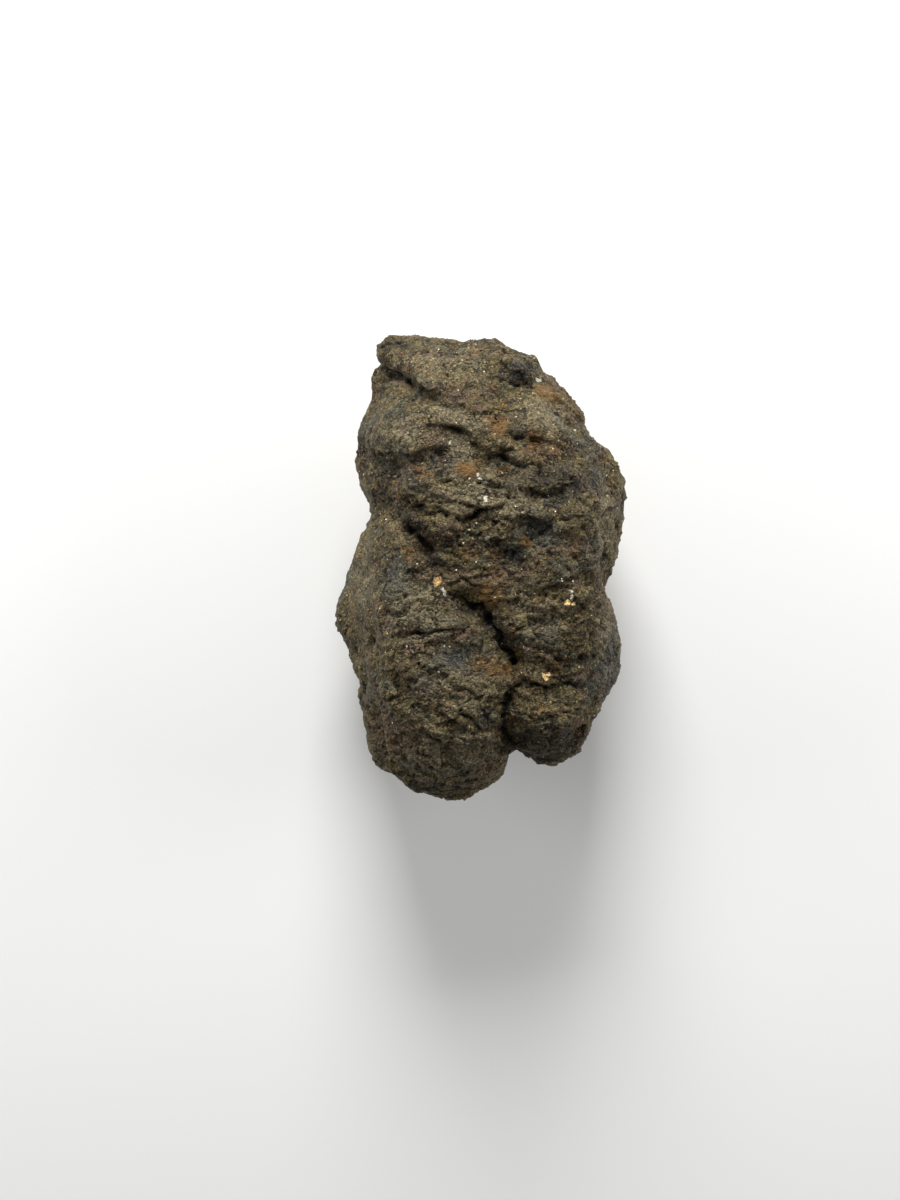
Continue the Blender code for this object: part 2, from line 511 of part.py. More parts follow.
def weathered_stone():
    finish = bpy.data.materials.new("weathered_chondrite")
    finish.use_nodes = True
    shader = finish.node_tree.nodes["Principled BSDF"]
    shader.inputs["Base Color"].default_value = (0.075, 0.062, 0.047, 1.0)
    shader.inputs["Roughness"].default_value = 0.72
    shader.inputs["Metallic"].default_value = 0.0
    return finish


def favour_lobed_face(stone, looks_up):
    """A group that has more of the mesh thinned out, the less it looks up."""
    group = stone.vertex_groups.new(name="thinned_most")
    favours = FAVOUR * np.clip(looks_up + FLANK_FAVOUR, 0, 1)
    for i, favour in enumerate(favours.tolist()):
        group.add([i], 1.0 - favour, "REPLACE")
    return group


def rest_cutter():
    """A block under the ground that cuts the stone's back off flat."""
    block = bmesh.new()
    bmesh.ops.create_cube(block, size=1.0)
    bmesh.ops.scale(block, vec=Vector((2 * WIDTH, 2 * LENGTH, REST_CUT_DEPTH)) * MM, verts=block.verts)
    bmesh.ops.translate(block, vec=Vector((0, 0, -REST_CUT_DEPTH / 2)) * MM, verts=block.verts)
    mesh = bpy.data.meshes.new("rest_cutter")
    block.to_mesh(mesh)
    block.free()
    cutter = bpy.data.objects.new("rest_cutter", mesh)
    cutter.hide_render = True
    cutter.display_type = "WIRE"
    return cutter


def main():
    for old in list(bpy.data.objects):
        bpy.data.objects.remove(old)
    mesh = shape_directions()
    looks_up = shape_stone(mesh)
    mesh.materials.append(weathered_stone())
    stone = bpy.data.objects.new("stone", mesh)
    bpy.context.scene.collection.objects.link(stone)
    thin = stone.modifiers.new("keep_what_shows", "DECIMATE")
    thin.ratio = KEPT_SHARE
    thin.vertex_group = favour_lobed_face(stone, looks_up).name
    cutter = rest_cutter()
    bpy.context.scene.collection.objects.link(cutter)
    flat = stone.modifiers.new("rest_spot", "BOOLEAN")
    flat.operation = "DIFFERENCE"
    flat.solver = "EXACT"
    flat.object = cutter
    mesh.shade_smooth()
    mesh.set_sharp_from_angle(angle=math.radians(SHARP_DEG))


main()
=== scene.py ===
import math

import bmesh
import bpy
import numpy as np
from mathutils import Matrix, Vector, noise


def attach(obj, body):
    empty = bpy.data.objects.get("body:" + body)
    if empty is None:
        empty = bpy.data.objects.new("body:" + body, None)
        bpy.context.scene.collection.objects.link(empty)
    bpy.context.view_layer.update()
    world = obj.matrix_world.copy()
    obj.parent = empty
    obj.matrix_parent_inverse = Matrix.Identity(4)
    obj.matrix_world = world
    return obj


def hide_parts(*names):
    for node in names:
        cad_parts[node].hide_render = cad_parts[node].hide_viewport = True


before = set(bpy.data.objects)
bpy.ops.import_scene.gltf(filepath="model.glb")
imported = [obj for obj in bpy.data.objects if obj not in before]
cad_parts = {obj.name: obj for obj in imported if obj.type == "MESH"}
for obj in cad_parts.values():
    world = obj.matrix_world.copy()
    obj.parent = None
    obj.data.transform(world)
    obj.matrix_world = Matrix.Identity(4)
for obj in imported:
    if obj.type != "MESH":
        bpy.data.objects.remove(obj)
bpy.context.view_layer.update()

scene = bpy.context.scene

# Lengths are in millimetres in this file, and turned to metres where they reach Blender.
MM = 0.001

# The photograph's frame: its size in pixels, a pixel's size at the stone's middle depth, and the
# pixel that the stone's middle is at
PHOTO_WIDTH, PHOTO_HEIGHT = 900, 1200
PIXEL = 0.16415
MIDDLE_PIXEL = (480.0, 569.5)
MIDDLE_DEPTH = 19.5
CAMERA_DISTANCE = 300.0
SENSOR_WIDTH = 36.0
VIEW_AXIS = np.array([
    (PHOTO_WIDTH / 2 - MIDDLE_PIXEL[0]) * PIXEL,
    (MIDDLE_PIXEL[1] - PHOTO_HEIGHT / 2) * PIXEL,
])

# The surface is meshed anew this finely, and the solid's flat facets are smoothed away. The lobed
# face, down to this height and this far round, is then meshed twice as finely. The flanks past it
# are this much less rough. The relief is pushed out along the normals of a broader form
MESH_SIZE = 0.57
FACET_ROUNDS = 3
FINE_ABOVE, FINE_FACING = 16.0, 0.32
FINE_ROUNDS = 4
STEEP_CALM = 0.25
BROAD_ROUNDS = 20
SMOOTHING_SHARE = 0.5

# What the photograph shows lies above this height. A place read from it is laid on the stone in a
# few rounds, each time on the highest of the nearest points
LOWEST_SEEN = 7.0
LIFT_ROUNDS, LIFT_NEIGHBOURS = 3, 8

# How the strata lie on the lobed face, and how much longer than wide their chips are
STRATA_TURN_DEG = -9.0
STRATA_STRETCH = 1.7

# Chips of the broken surface: their size, the tilt of each one's plane, how deep the creases
# between them are, and where their pattern starts
CHIPS = [
    (3.4, 0.36, 0.22, Vector((2.0, 4.0, 9.0))),
    (1.6, 0.30, 0.26, Vector((6.0, 3.0, 1.0))),
    (0.9, 0.22, 0.16, Vector((9.0, 5.0, 2.0))),
]
CREASE_WIDTH = 0.08
CHIP_SCATTER = 61.7

# Thin flakes lie over each other like shingles: size of their pattern, edges that it has, how high
# each edge stands, the share of a flake that its broken edge takes up, and where the pattern starts
FLAKES = [
    (7.5, 2.1, 0.42, 0.06, Vector((7.0, 1.0, 3.0))),
    (3.1, 1.7, 0.20, 0.10, Vector((4.0, 8.0, 6.0))),
]

# Places of the lobed face that are less broken: place, two half widths, turn in degrees
SMOOTHNESS = 0.62
SMOOTH_PLACES = [
    ((-5.0, 33.0), (13.0, 4.5), -10),
    ((-10.0, 25.0), (11.0, 5.5), -5),
    ((9.0, 25.5), (7.0, 6.0), -35),
    ((-3.4, 20.0), (3.4, 3.0), 0),
    ((-19.5, -3.0), (4.0, 10.0), 0),
    ((20.5, 12.0), (3.0, 7.0), 10),
]

# How large the more and the less flaky patches are, and how much they differ. Then the finest
# relief, and the two warps that bend all the patterns: size and strength
FLAKY_PATCH, FLAKY_SWING = 9.0, 1.2
CRUMB_SIZE, CRUMB_HEIGHT = 0.7, 0.06
WIDE_WARP_SIZE, WIDE_WARP = 6.0, 1.4
NARROW_WARP_SIZE, NARROW_WARP = 1.8, 0.55

# The warps are drawn from this seed, so each run gives the same surface
WARP_SEED = 4

# Cracks wander by this much and are deep in places and shallow in others: the size of those
# places, the middle share of a crack's depth, its swing, and its least and most. Painted shade and
# dirt darken a crack this much more than its relief alone would
CRACK_WANDER = 0.65
CRACK_PATCH = 2.6
CRACK_FADE, CRACK_FADE_SWING, CRACK_FADE_RANGE = 0.75, 0.9, (0.15, 1.3)
CRACK_DARKNESS = 1.3

# The flat rest spot keeps its plane: the surface is less rough within this height of it
REST_CALM = 2.0

# Cracks of the lobed face, seen from above: points, half width and depth
CRACKS = [
    ([(-17.0, 33.8), (-16.0, 33.2), (-14.6, 32.6), (-13.0, 31.6), (-11.8, 31.0)], 0.42, 1.3),
    ([(-11.8, 31.0), (-10.5, 30.6), (-9.0, 29.6), (-7.5, 28.3), (-5.7, 27.2)], 0.35, 0.4),
    ([(-3.6, 26.8), (-1.8, 26.0), (0.0, 25.2), (1.6, 26.0), (3.0, 26.2)], 0.35, 0.40),
    ([(3.9, 31.0), (5.2, 30.4), (7.2, 30.7), (9.0, 31.1)], 0.35, 0.6),
    ([(3.9, 31.0), (3.7, 32.4), (4.6, 34.0)], 0.35, 0.6),
    ([(17.4, 15.0), (18.6, 10.0), (19.0, 4.0), (19.6, -2.0)], 0.35, 0.7),
    ([(21.4, 1.6), (20.4, -1.0), (21.0, -4.0)], 0.40, 0.9),
    ([(17.6, -1.0), (18.2, -5.0), (17.6, -9.5)], 0.30, 0.5),
    ([(-18.8, 29.0), (-17.0, 28.2), (-15.4, 28.6)], 0.30, 0.4),
    ([(-17.8, -12.0), (-15.4, -13.6), (-14.0, -16.8), (-14.4, -20.4)], 0.35, 0.5),
    ([(-3.6, -23.8), (-0.6, -24.6), (1.6, -23.6)], 0.30, 0.5),
    ([(6.4, -24.0), (8.6, -24.8), (11.0, -24.2)], 0.30, 0.5),
    ([(-14.6, -28.6), (-12.0, -30.2), (-9.0, -30.4), (-6.4, -31.2)], 0.35, 0.6),
    ([(-8.5, 23.8), (-6.4, 23.7), (-4.4, 23.1), (-3.0, 22.7), (-1.8, 21.9), (-0.9, 20.9), (0.2, 20.2)],
     0.45, 0.9),
    ([(-1.0, 23.5), (0.2, 22.6), (0.5, 21.5)], 0.30, 0.5),
    ([(-7.0, 21.8), (-6.0, 22.4), (-5.0, 22.9)], 0.30, 0.5),
    ([(-18.3, 20.3), (-17.0, 18.8), (-14.8, 18.6), (-12.5, 18.2), (-10.5, 19.0), (-9.2, 19.5),
      (-7.5, 18.0)], 0.45, 0.8),
    ([(-7.0, 19.5), (-6.2, 19.8)], 0.35, 0.6),
    ([(1.3, 18.6), (3.5, 18.5), (5.0, 17.7), (7.0, 17.4), (8.3, 17.5)], 0.45, 0.9),
    ([(4.0, 19.6), (5.8, 19.4)], 0.35, 0.5),
    ([(5.2, 22.3), (6.6, 21.6), (8.0, 20.8)], 0.35, 0.6),
    ([(9.0, 17.0), (10.5, 15.5), (12.0, 15.8)], 0.35, 0.6),
    ([(0.3, 14.3), (0.8, 14.0), (1.5, 13.7)], 0.45, 0.8),
    ([(8.0, 12.8), (10.5, 12.4), (13.0, 12.5)], 0.35, 0.6),
    ([(-12.6, 11.8), (-11.0, 10.6), (-9.0, 10.2), (-7.0, 9.9), (-5.5, 9.2), (-3.0, 8.6), (-1.5, 8.5),
      (-0.3, 9.2), (0.6, 9.8)], 0.35, 0.8),
    ([(-6.0, 10.6), (-3.5, 9.9), (-1.0, 10.2)], 0.30, 0.4),
    ([(-17.5, 13.5), (-15.2, 11.2), (-13.2, 8.6), (-11.6, 6.8), (-9.8, 5.0), (-8.2, 3.6)], 0.40, 0.7),
    ([(-16.2, 11.0), (-14.6, 9.2), (-12.8, 6.6), (-11.2, 4.8), (-9.9, 2.4)], 0.35, 0.45),
    ([(-9.6, 9.2), (-8.4, 8.6), (-7.4, 7.6)], 0.40, 0.7),
    ([(-9.0, 4.0), (-7.5, 0.2), (-6.2, -2.6)], 0.30, 0.4),
    ([(8.0, 8.0), (10.0, 8.0), (11.5, 7.0), (12.0, 6.0)], 0.40, 0.6),
    ([(2.3, 8.3), (3.3, 7.3)], 0.35, 0.5),
    ([(5.0, 3.2), (6.2, 2.4), (7.6, 2.6)], 0.35, 0.5),
    ([(12.3, 3.3), (13.4, 2.6)], 0.35, 0.5),
    ([(-4.2, -5.0), (-2.8, -5.4), (-1.2, -6.0), (0.3, -6.5), (1.5, -7.3)], 0.40, 0.9),
    ([(0.9, -7.6), (1.4, -8.6), (2.3, -10.0), (3.3, -11.3), (4.3, -12.5), (5.2, -13.8), (5.6, -15.0)],
     0.40, 0.9),
    ([(3.2, -15.2), (3.8, -14.8), (4.8, -14.3)], 0.40, 0.8),
    ([(-12.0, -10.6), (-10.0, -10.6), (-7.8, -10.3), (-5.8, -10.3), (-4.5, -10.1), (-2.9, -10.2)],
     0.28, 0.9),
    ([(-8.0, -16.6), (-6.5, -17.4), (-5.0, -17.8)], 0.35, 0.6),
    ([(4.5, -20.2), (6.0, -19.4), (7.5, -18.8), (9.2, -19.2), (11.0, -19.5), (12.8, -19.0), (14.0, -18.8),
      (16.0, -19.3), (17.6, -19.0)], 0.35, 0.9),
    ([(-1.8, -19.8), (-1.0, -20.6), (0.5, -21.0), (2.5, -20.7), (4.0, -20.2)], 0.40, 0.7),
    ([(4.3, -20.5), (4.3, -23.0), (4.0, -25.0), (4.0, -27.0), (4.6, -28.8), (5.4, -30.5)], 0.45, 0.8),
    ([(-13.0, -33.8), (-10.5, -35.3), (-8.5, -35.6), (-6.5, -35.4), (-4.5, -35.6), (-2.5, -35.4),
      (-0.8, -34.8)], 0.60, 1.3),
    ([(18.2, -11.0), (19.2, -14.5), (18.4, -18.0), (18.5, -20.5)], 0.45, 0.8),
    ([(-10.3, -25.0), (-9.0, -24.6)], 0.35, 0.5),
    ([(-9.5, -26.0), (-8.0, -26.4)], 0.35, 0.5),
    ([(-7.8, -28.0), (-6.8, -28.8)], 0.35, 0.5),
    ([(19.0, 11.0), (19.4, 9.0)], 0.35, 0.6),
    ([(10.0, -11.8), (12.2, -12.0), (14.0, -11.2)], 0.30, 0.5),
    ([(12.5, -15.0), (15.0, -15.4), (17.0, -14.6)], 0.35, 0.6),
]

# Broken lips of the lobed face, seen from above: points with the high ground on the right of their
# run, how high the lip stands, and how far to either side it reaches
LIP_SOFTNESS, LIP_END_SHARE = 0.16, 0.6
LIPS = [
    ([(-9.6, 30.3), (-11.6, 31.5), (-14.6, 33.2), (-17.0, 34.2)], 0.7, 1.6),
    ([(3.2, 26.3), (1.6, 26.0), (0.2, 25.2), (-1.8, 26.0), (-3.6, 26.7), (-5.7, 27.4), (-7.5, 28.4),
      (-9.0, 29.7)], 0.5, 1.6),
    ([(9.8, 31.2), (7.2, 30.9), (5.2, 30.6), (3.9, 31.2)], 0.5, 1.2),
    ([(1.4, 18.4), (0.4, 20.0), (-0.9, 20.9), (-1.8, 21.9), (-3.0, 22.7)], 0.8, 1.6),
    ([(-3.0, 22.7), (-4.4, 23.1), (-6.4, 23.7), (-8.5, 23.6)], 0.5, 1.4),
    ([(-6.4, 19.8), (-9.0, 19.4), (-11.0, 18.6), (-14.5, 18.5), (-17.2, 19.2), (-19.0, 20.6)], 0.7, 1.6),
    ([(10.0, 17.2), (7.0, 17.5), (5.0, 17.8), (3.5, 18.5), (1.3, 18.8)], 0.7, 1.6),
    ([(9.4, 21.4), (8.0, 20.9), (6.6, 21.6), (5.2, 22.3)], 0.5, 1.4),
    ([(-5.6, -2.0), (-7.2, 2.2), (-9.2, 5.0), (-11.2, 7.0), (-13.0, 9.4), (-15.6, 11.8)], 0.2, 1.6),
    ([(5.6, -14.2), (3.8, -11.4), (2.0, -8.8), (0.6, -6.4), (-2.0, -5.4), (-4.2, -4.8)], 0.2, 1.6),
    ([(0.0, -34.9), (-2.5, -35.4), (-6.5, -35.5), (-10.5, -35.2), (-13.0, -33.9)], 1.2, 1.8),
    ([(12.4, 6.0), (11.5, 7.4), (10.0, 8.3), (8.0, 8.3)], 0.7, 1.6),
    ([(16.0, 14.6), (13.0, 13.0), (9.5, 12.9), (6.0, 13.4), (2.5, 13.6), (0.4, 14.4)], 0.6, 1.6),
    ([(1.2, 9.9), (-0.4, 9.4), (-2.4, 8.6), (-5.6, 9.4), (-9.0, 10.2), (-12.2, 11.4)], 0.7, 1.6),
    ([(8.6, 1.6), (6.2, 2.4), (3.2, 3.8), (0.4, 6.2), (-3.6, 6.0)], 0.5, 1.6),
    ([(16.0, -1.0), (12.4, 2.6), (9.6, 4.6)], 0.5, 1.6),
    ([(-2.8, -10.0), (-6.0, -10.2), (-10.0, -10.5), (-12.6, -10.4)], 0.3, 1.2),
    ([(3.8, -20.4), (0.6, -20.9), (-2.6, -19.6), (-6.0, -17.6), (-8.4, -16.4)], 0.6, 1.6),
    ([(-1.5, -28.6), (-5.8, -28.9), (-8.4, -26.6), (-12.8, -25.0)], 0.6, 1.6),
    ([(13.5, -26.6), (9.0, -27.8), (6.4, -27.0)], 0.5, 1.5),
    ([(17.6, -19.1), (14.0, -18.8), (11.0, -19.4), (7.5, -18.9), (4.6, -19.8)], 0.5, 1.4),
]

# Small pits of the lobed face: place, radius and depth
PITS = [
    ((14.3, 18.7), 0.8, 1.0),
    ((14.8, 24.0), 0.8, 0.6),
    ((15.8, 2.0), 0.6, 0.9),
    ((-12.6, -30.8), 0.9, 0.8),
    ((-13.0, -27.6), 0.8, 0.7),
    ((3.8, 18.9), 0.9, 0.7),
    ((1.4, -8.6), 0.8, 0.6),
    ((16.7, -14.9), 0.7, 0.8),
    ((19.4, -14.0), 0.7, 0.8),
    ((-15.4, -7.0), 0.8, 0.6),
]

# Stained places of the lobed face, and places of painted shade and painted light, whose edges fall
# off this steeply: kind, place, two half widths, turn in degrees, strength
PLACE_STEEPNESS = 1.3
STAINS_AND_PAINTED_SHADE_AND_LIGHT = [
    ("rust", (11.2, 29.0), (2.6, 1.6), -20, 0.75),
    ("rust", (3.0, 23.6), (1.5, 1.8), 0, 1.0),
    ("rust", (-2.3, 16.3), (1.9, 1.3), -20, 0.9),
    ("rust", (9.0, 21.3), (1.3, 1.3), 0, 0.8),
    ("rust", (7.7, 4.6), (1.1, 0.8), -20, 0.8),
    ("rust", (15.5, 4.0), (1.6, 2.4), 0, 0.45),
    ("rust", (1.6, -4.2), (2.6, 2.2), -20, 0.65),
    ("rust", (3.0, -16.4), (3.2, 1.3), -8, 0.65),
    ("rust", (-9.8, 16.0), (1.2, 1.4), 30, 0.5),
    ("rust", (-2.2, 2.6), (2.0, 1.6), 0, 0.45),
    ("rust", (-9.0, -12.5), (2.2, 1.4), 0, 0.35),
    ("blue", (-3.6, 20.4), (2.9, 2.4), -10, 0.45),
    ("blue", (9.9, 6.6), (2.8, 2.0), -25, 1.0),
    ("blue", (8.0, 9.6), (1.8, 1.3), 0, 0.8),
    ("blue", (5.6, 2.8), (2.0, 1.4), -30, 0.8),
    ("blue", (-5.6, 17.8), (3.0, 1.6), 0, 0.5),
    ("blue", (21.5, -14.5), (2.4, 6.0), 0, 0.7),
    ("blue", (19.3, 14.5), (1.6, 4.0), 15, 0.6),
    ("blue", (-4.5, -14.5), (4.5, 2.6), 10, 0.6),
    ("blue", (-13.6, -0.5), (1.8, 2.8), 0, 0.6),
    ("blue", (-12.0, 15.0), (2.6, 1.4), -25, 0.5),
    ("blue", (10.8, -11.0), (2.4, 2.2), 0, 0.4),
    ("blue", (-9.0, -19.0), (3.0, 2.2), 0, 0.5),
    ("blue", (-4.5, -29.0), (5.0, 2.4), -10, 0.45),
    ("blue", (6.6, 32.6), (2.6, 2.0), 0, 0.7),
    # Dark places: mostly painted shade under lips, in hollows and at the foot; partly dark stone
    ("dark", (13.0, 14.6), (5.0, 2.4), -5, 0.9),
    ("dark", (-14.5, 16.5), (4.5, 1.8), -25, 0.7),
    ("dark", (3.2, 18.2), (2.4, 1.0), -10, 0.8),
    ("dark", (-10.6, 7.0), (3.2, 1.8), -45, 0.8),
    ("dark", (2.6, -9.6), (4.4, 1.5), -50, 0.8),
    ("dark", (6.0, 13.0), (4.0, 1.2), -8, 0.5),
    ("dark", (16.6, -14.8), (1.8, 1.2), 0, 0.7),
    ("dark", (-7.0, -35.8), (7.0, 0.7), 0, 1.0),
    ("dark", (-14.6, 32.4), (3.0, 0.7), -30, 0.8),
    ("dark", (10.5, -28.6), (7.0, 3.2), 0, 0.95),
    ("dark", (-8.6, 3.0), (5.0, 1.4), -55, 0.6),
    ("dark", (6.8, 32.4), (2.6, 1.8), 0, 0.4),
    # Pale places: partly pale stone, partly painted light on the top and the flanks
    ("pale", (-6.0, 33.5), (9.0, 3.5), -8, 0.40),
    ("pale", (-3.0, 24.8), (7.0, 1.8), -12, 0.60),
    ("pale", (-12.0, 22.5), (6.0, 3.0), 0, 0.50),
    ("pale", (10.0, 25.5), (5.0, 3.0), -35, 0.50),
    ("pale", (-10.0, -8.0), (6.0, 6.0), -40, 0.55),
    ("pale", (-5.5, -30.0), (7.0, 4.0), 0, 0.6),
    ("pale", (2.0, 11.8), (8.5, 3.4), -10, 0.75),
    ("pale", (-5.0, -20.0), (7.0, 3.6), 0, 0.45),
    ("pale", (9.0, -8.0), (4.0, 4.0), 0, 0.30),
    ("pale", (20.6, -9.0), (1.6, 5.0), 0, 0.5),
    ("pale", (-3.4, 19.6), (3.6, 2.8), 0, 0.45),
    ("pale", (7.0, -31.0), (3.0, 1.4), 0, 0.35),
    ("pale", (-5.5, -34.0), (7.0, 1.2), 0, 0.6),
    ("pale", (-19.0, -2.0), (2.6, 8.0), 0, 0.3),
    ("pale", (20.8, 8.0), (2.2, 8.0), 5, 0.45),
]

# Bright gold grains and white painted glints of the lobed face: colour, place, two half widths, turn in
# degrees
BRIGHT_GRAINS_AND_PAINTED_GLINTS = [
    ("gold", (-7.0, -2.0), (0.75, 0.60), 60),
    ("white", (-5.9, -3.7), (0.70, 0.28), -70),
    ("white", (0.9, 11.6), (0.60, 0.38), 80),
    ("white", (-0.3, 15.5), (0.32, 0.26), 0),
    ("white", (0.1, 14.8), (0.30, 0.22), 0),
    ("white", (0.5, 14.3), (0.30, 0.20), 40),
    ("white", (1.1, 14.4), (0.20, 0.20), 0),
    ("white", (1.2, 5.2), (0.50, 0.25), 40),
    ("white", (15.0, -3.6), (0.22, 0.34), 0),
    ("white", (15.1, -4.5), (0.24, 0.30), 0),
    ("gold", (14.4, -5.4), (0.40, 0.36), 30),
    ("gold", (15.4, -5.6), (0.30, 0.36), 0),
    ("gold", (10.6, -17.4), (0.36, 0.30), 0),
    ("gold", (11.4, -17.2), (0.30, 0.36), 0),
    ("gold", (10.9, -18.0), (0.30, 0.24), 0),
    ("white", (-4.9, 20.9), (0.24, 0.24), 0),
    ("white", (9.7, 31.1), (0.50, 0.26), -15),
    ("white", (15.6, 22.9), (0.26, 0.24), 0),
]
BRIGHT_COLOURS = {"gold": "#e9c48a", "white": "#dedac6"}

# Creases and hollows that the material darkens with painted shade and dark dirt: rounds of smoothing
# that fill them, and the depth in mm at which each counts as 1
CREVICE_ROUNDS, CREVICE_DEPTH = 4, 0.16
HOLLOW_ROUNDS, HOLLOW_DEPTH = 40, 0.8


def srgb(hex_colour):
    """A colour given as an sRGB hex value, in linear light."""
    parts = [int(hex_colour[i:i + 2], 16) / 255 for i in (1, 3, 5)]
    return [p / 12.92 if p <= 0.04045 else ((p + 0.055) / 1.055) ** 2.4 for p in parts] + [1.0]


def read_points(mesh):
    points = np.empty(len(mesh.vertices) * 3)
    mesh.vertices.foreach_get("co", points)
    return points.reshape(-1, 3) / MM


def write_points(mesh, points):
    mesh.vertices.foreach_set("co", (points * MM).ravel())
    mesh.update()


def read_normals(mesh, points):
    write_points(mesh, points)
    normals = np.empty(len(mesh.vertices) * 3)
    mesh.vertex_normals.foreach_get("vector", normals)
    return normals.reshape(-1, 3)


def edge_ends(mesh):
    ends = np.empty(len(mesh.edges) * 2, int)
    mesh.edges.foreach_get("vertices", ends)
    return ends.reshape(-1, 2)


def soften(ends, values, rounds, share=SMOOTHING_SHARE):
    """Each point's values move a share of the way to the mean of its neighbours', round by round."""
    count = len(values)
    ties = np.maximum(np.bincount(ends.ravel(), minlength=count), 1)
    for _ in range(rounds):
        sums = np.column_stack([
            np.bincount(ends[:, 0], values[ends[:, 1], axis], count)
            + np.bincount(ends[:, 1], values[ends[:, 0], axis], count)
            for axis in range(values.shape[1])
        ])
        values = values + share * (sums / ties[:, None] - values)
    return values


def apply_modifiers(piece):
    bpy.ops.object.select_all(action="DESELECT")
    bpy.context.view_layer.objects.active = piece
    piece.select_set(True)
    for modifier in list(piece.modifiers):
        bpy.ops.object.modifier_apply(modifier=modifier.name)


def copy_of_stone():
    """The solid's mesh as a new piece, merged and meshed anew in even quads."""
    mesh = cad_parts["stone"].data.copy()
    mesh.materials.clear()
    piece = bpy.data.objects.new("weathered_stone", mesh)
    scene.collection.objects.link(piece)
    merged = bmesh.new()
    merged.from_mesh(mesh)
    bmesh.ops.remove_doubles(merged, verts=merged.verts, dist=1e-6)
    merged.to_mesh(mesh)
    merged.free()
    remesh = piece.modifiers.new("even_quads", "REMESH")
    remesh.mode = "VOXEL"
    remesh.voxel_size = MESH_SIZE * MM
    apply_modifiers(piece)
    return piece


def refine_lobed_face(piece):
    """The faces that look up from the lobed side are cut in four."""
    for polygon in piece.data.polygons:
        polygon.select = polygon.center.z > FINE_ABOVE * MM and polygon.normal.z > FINE_FACING
    bpy.ops.object.mode_set(mode="EDIT")
    bpy.ops.mesh.select_mode(type="FACE")
    bpy.ops.mesh.subdivide(number_cuts=1)
    bpy.ops.object.mode_set(mode="OBJECT")


def lift(points, path):
    """A path read from the photograph, laid on the lobed face where the camera sees it."""
    facing = points[points[:, 2] > LOWEST_SEEN]
    lifted = []
    for read in np.array(path):
        spot = read
        for _ in range(LIFT_ROUNDS):
            apart = (facing[:, 0] - spot[0]) ** 2 + (facing[:, 1] - spot[1]) ** 2
            depth = facing[np.argpartition(apart, LIFT_NEIGHBOURS)[:LIFT_NEIGHBOURS], 2].max()
            spot = VIEW_AXIS + (read - VIEW_AXIS) * (1 - (depth - MIDDLE_DEPTH) / CAMERA_DISTANCE)
        lifted.append((spot[0], spot[1], depth))
    return np.array(lifted)


def distance_to_path(points, path):
    best = np.full(len(points), np.inf)
    for start, end in zip(path[:-1], path[1:]):
        run = end - start
        share = np.clip((points - start) @ run / (run @ run), 0, 1)
        best = np.minimum(best, ((points - start - share[:, None] * run) ** 2).sum(axis=1))
    return np.sqrt(best)


def beside_path(points, path):
    """How far each point lies to the right of a path seen from above, and how far past its ends."""
    best = np.full(len(points), np.inf)
    right, past = np.zeros(len(points)), np.zeros(len(points))
    for start, end in zip(path[:-1], path[1:]):
        run = end - start
        share = np.clip((points - start) @ run / (run @ run), 0, 1)
        offset = points - start - share[:, None] * run
        apart = (offset ** 2).sum(axis=1)
        closer = apart < best
        best[closer] = apart[closer]
        along = run[:2] / np.hypot(run[0], run[1])
        right[closer] = (offset[:, 0] * along[1] - offset[:, 1] * along[0])[closer]
        past[closer] = np.sqrt(np.maximum(apart - right ** 2, 0))[closer]
    return right, past


def chip(spot, tilt, crease):
    """Height on a surface broken into chips one unit across: tilted planes with creases between."""
    apart, centres = noise.voronoi(spot)
    lean = noise.cell_vector(centres[0] * CHIP_SCATTER) - Vector((0.5, 0.5, 0.5))
    edge = math.exp(-((apart[1] - apart[0]) / CREASE_WIDTH))
    return tilt * 2 * lean.dot(spot - centres[0]) - crease * edge


def flake(value, edge_share):
    """Height on flakes that lie over each other: a slow rise from 0 to 1, then a short broken edge."""
    part = value % 1.0
    return min(part / (1 - edge_share), (1 - part) / edge_share) - 0.5


def broken_surface(points):
    """At each point, the height of the chips, flakes and grains, and how cracks wander and fade."""
    turn = Matrix.Rotation(math.radians(-STRATA_TURN_DEG), 3, "Z")
    squeeze = Vector((1 / STRATA_STRETCH, 1.0, 1.0))
    noise.seed_set(WARP_SEED)
    heights, fades, wanders = np.empty(len(points)), np.empty(len(points)), np.empty(points.shape)
    for i, point in enumerate(points):
        spot = Vector(point)
        warp = noise.noise_vector(spot / WIDE_WARP_SIZE) * WIDE_WARP
        narrow = noise.noise_vector(spot / NARROW_WARP_SIZE)
        wanders[i] = narrow * CRACK_WANDER
        fades[i] = CRACK_FADE + CRACK_FADE_SWING * noise.noise(spot / CRACK_PATCH)
        warp += narrow * NARROW_WARP
        laid = (turn @ (spot + warp)) * squeeze
        height = CRUMB_HEIGHT * noise.noise(spot / CRUMB_SIZE)
        for size, tilt, crease, shift in CHIPS:
            height += chip(laid / size + shift, tilt, crease)
        flaky = 1.0 + FLAKY_SWING * noise.noise(spot / FLAKY_PATCH)
        for size, edges, high, edge_share, shift in FLAKES:
            layer = noise.noise(laid / size + shift)
            height += flaky * high * flake(layer * edges, edge_share)
        heights[i] = height
    return heights, np.clip(fades, *CRACK_FADE_RANGE), wanders


def ellipse_share(points, place, half_widths, turn_deg):
    """1 at a place of the lobed face, falling to 0 past its half widths."""
    place = lift(points, [place])[0]
    c, s = math.cos(math.radians(turn_deg)), math.sin(math.radians(turn_deg))
    x, y = points[:, 0] - place[0], points[:, 1] - place[1]
    along, across = (x * c + y * s) / half_widths[0], (y * c - x * s) / half_widths[1]
    return np.exp(-((along ** 2 + across ** 2) ** PLACE_STEEPNESS)) * (points[:, 2] > LOWEST_SEEN)


